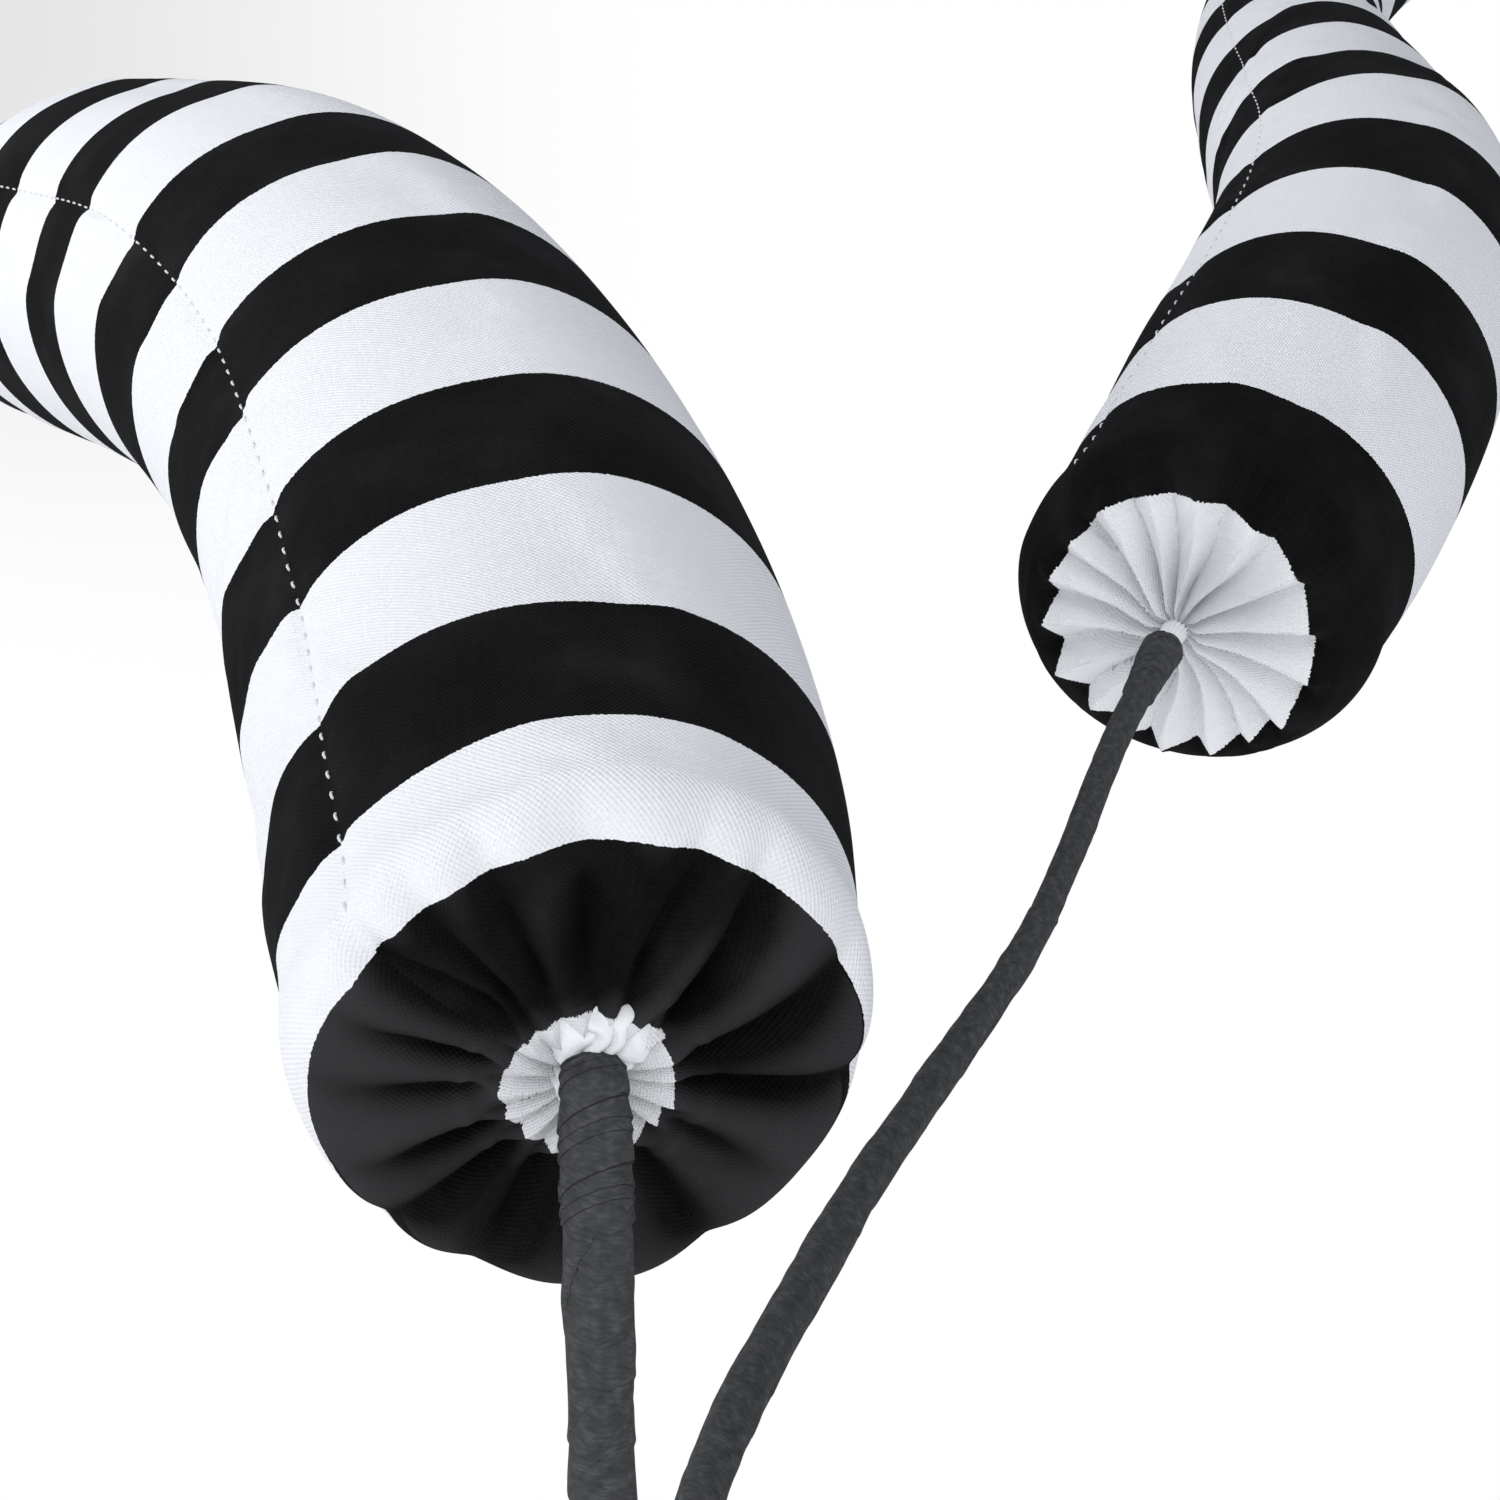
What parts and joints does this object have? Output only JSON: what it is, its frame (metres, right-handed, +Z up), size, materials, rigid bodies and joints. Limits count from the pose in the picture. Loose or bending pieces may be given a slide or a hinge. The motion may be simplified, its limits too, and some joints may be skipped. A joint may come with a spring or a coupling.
{
  "type": "curly striped spray",
  "caption": "Decorative spray: stuffed striped fabric corkscrews with gathered ends on tape-wrapped bendable wire branches that join in one straight stem.",
  "frame": {"origin": "centre of the foot of the straight stem", "axes": "+Z up the stem towards the curls, +X towards the right branch, -Y towards the left curl's gathered end"},
  "size_m": [0.4707, 0.3423, 0.8963],
  "materials": {
    "steel_wire": "satin",
    "wire_coat": "satin",
    "crepe_tape": "matte",
    "striped_cloth": "matte",
    "fiberfill": "matte",
    "thread": "matte"
  },
  "bodies": {
    "stem": {"stem_wire": "steel_wire", "left_tail_wire": "steel_wire", "left_tail_coat": "wire_coat", "right_tail_wire": "steel_wire", "right_tail_coat": "wire_coat", "stem_tape": "crepe_tape", "fork_tape": "crepe_tape"},
    "left_branch": {"left_branch_wire": "steel_wire", "left_branch_coat": "wire_coat", "left_branch_tape": "crepe_tape", "left_neck_tape": "crepe_tape"},
    "left_curl": {"left_cover": "striped_cloth", "left_stuffing": "fiberfill", "left_armature_wire": "steel_wire", "left_armature_coat": "wire_coat", "left_gather_thread": "thread", "left_seam_thread": "thread", "left_tip_thread": "thread"},
    "right_branch": {"right_branch_wire": "steel_wire", "right_branch_coat": "wire_coat", "right_branch_tape": "crepe_tape", "right_neck_tape": "crepe_tape"},
    "right_curl": {"right_cover": "striped_cloth", "right_stuffing": "fiberfill", "right_armature_wire": "steel_wire", "right_armature_coat": "wire_coat", "right_gather_thread": "thread", "right_seam_thread": "thread", "right_tip_thread": "thread"}
  },
  "joints": [
    {"name": "left_splay", "type": "hinge", "parent": "stem", "child": "left_branch", "pos_m": [-0.001, -0.004, 0.184], "axis": [1, 0, 0], "range_deg": [-10, 20]},
    {"name": "left_sway", "type": "hinge", "parent": "left_branch", "child": "left_curl", "pos_m": [-0.002, -0.0835, 0.261], "axis": [0, 0.7207, -0.6932], "range_deg": [-30, 10]},
    {"name": "right_splay", "type": "hinge", "parent": "stem", "child": "right_branch", "pos_m": [0.002, 0.004, 0.184], "axis": [0, 1, 0], "range_deg": [-5, 25]},
    {"name": "right_nod", "type": "hinge", "parent": "right_branch", "child": "right_curl", "pos_m": [0.0815, 0.025, 0.402], "axis": [0.8884, 0, -0.4592], "range_deg": [-20, 25]}
  ]
}
